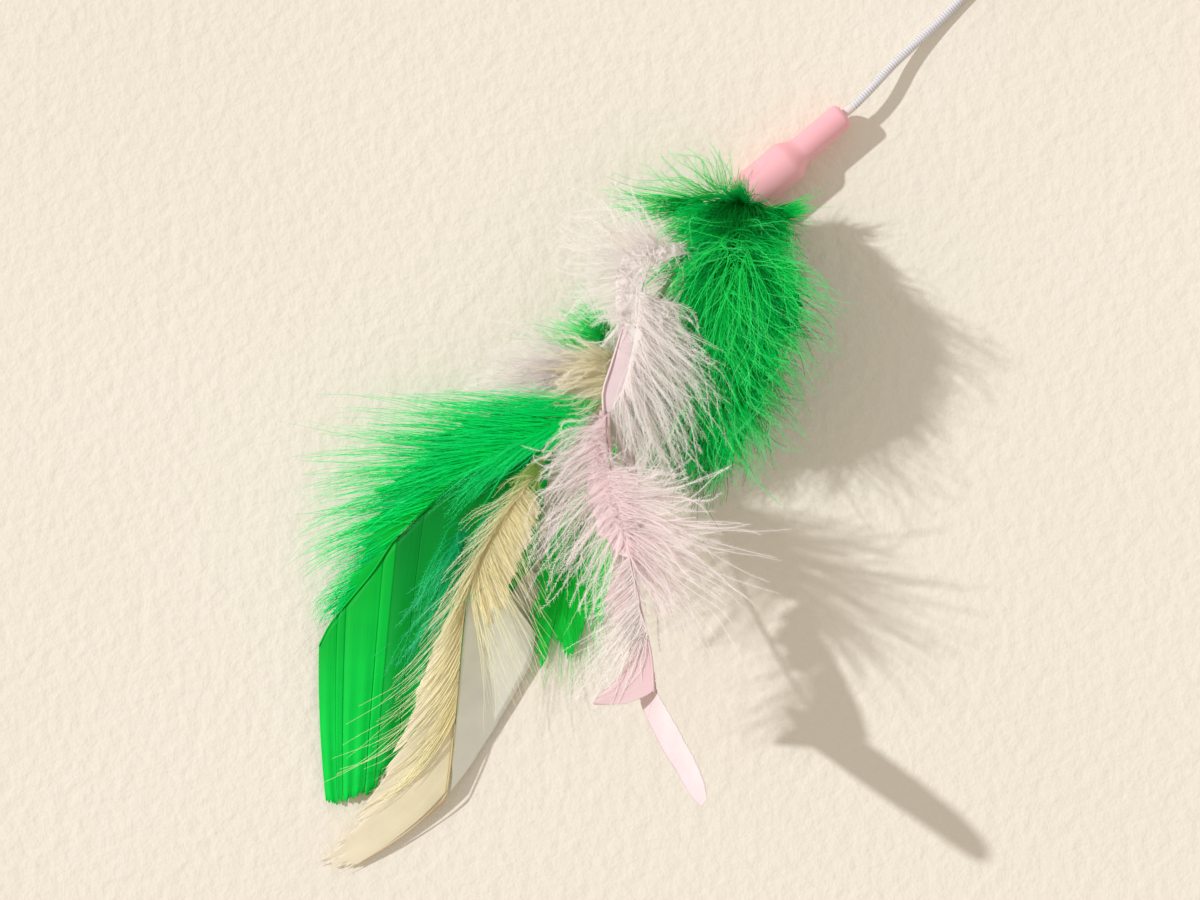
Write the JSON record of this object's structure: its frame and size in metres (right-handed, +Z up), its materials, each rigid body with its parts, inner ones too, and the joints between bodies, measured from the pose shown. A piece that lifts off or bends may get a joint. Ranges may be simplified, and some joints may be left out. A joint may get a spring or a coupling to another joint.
{
  "type": "cat teaser wand",
  "caption": "Cat teaser wand: a slim rod with a soft grip and hanging tab, an elastic cord, and a lure of long goose feathers and soft plumes held in a soft sleeve.",
  "frame": {"origin": "centre of the hanging hole in the end cap, in the middle of the tab's thickness", "axes": "+Y along the rod from the hanging hole towards the cord's end, +Z up from the table that the wand lies on and along the hanging hole, +X to the rod's right as seen from above"},
  "size_m": [0.207, 0.4223, 0.043],
  "materials": {
    "rod": "smooth white fibreglass",
    "grip": "soft satin pink",
    "sleeve": "smooth soft pink, satin",
    "cord": "translucent white elastic, smooth",
    "coil_tie": "thin pale tape",
    "glue": "set clear glue",
    "thread": "fine twisted thread",
    "green_feather": "dyed feather, soft sheen",
    "deep_green_feather": "dyed feather, dull",
    "cream_feather": "natural feather, soft sheen",
    "white_feather": "natural down, matte",
    "pink_feather": "pale pink dyed feather, soft"
  },
  "bodies": {
    "wand": {"rod": "rod", "grip": "grip", "end_cap": "grip", "tip_sleeve": "sleeve", "tip_cord_tail": "cord", "tip_knot": "cord", "cord_lead": "cord", "cord_coil": "cord", "cord_run": "cord", "coil_tie": "coil_tie"},
    "cord_end": {"lure_cord_end": "cord", "lure_knot": "cord"},
    "lure": {"lure_sleeve": "sleeve", "glue_plug": "glue", "thread_binding": "thread", "upper_quills": "pink_feather", "right_quills": "green_feather", "left_quills": "cream_feather", "green_goose_feather": "green_feather", "green_under_feather": "deep_green_feather", "cream_goose_feather": "cream_feather"},
    "upper_feathers": {"pink_upper_feather": "pink_feather", "pink_lower_feather": "pink_feather", "pink_strip_feather": "pink_feather"},
    "right_feathers": {"green_plume": "green_feather", "right_tuft": "green_feather"},
    "left_feathers": {"left_tuft": "green_feather", "side_plume": "green_feather", "cream_down": "cream_feather", "white_down": "white_feather"}
  },
  "joints": [
    {"name": "lure_lift", "type": "hinge", "parent": "wand", "child": "cord_end", "pos_m": [-0.093, 0.362, 0.0005], "axis": [-0.6428, 0.766, 0], "range_deg": [0, 80]},
    {"name": "lure_spin", "type": "hinge", "parent": "cord_end", "child": "lure", "pos_m": [-0.093, 0.362, 0.0005], "axis": [-0.766, -0.6428, 0], "continuous": true},
    {"name": "upper_feathers_lift", "type": "hinge", "parent": "lure", "child": "upper_feathers", "pos_m": [-0.11521, 0.34336, 0.003], "axis": [-0.6428, 0.766, 0], "range_deg": [0, 25], "stiffness_Nm_per_rad": 0.02},
    {"name": "right_feathers_swing", "type": "hinge", "parent": "lure", "child": "right_feathers", "pos_m": [-0.11361, 0.34144, 0.0005], "axis": [0, 0, 1], "range_deg": [0, 18], "stiffness_Nm_per_rad": 0.02},
    {"name": "left_feathers_swing", "type": "hinge", "parent": "lure", "child": "left_feathers", "pos_m": [-0.11682, 0.34527, 0.0005], "axis": [0, 0, -1], "range_deg": [0, 6], "stiffness_Nm_per_rad": 0.02}
  ]
}
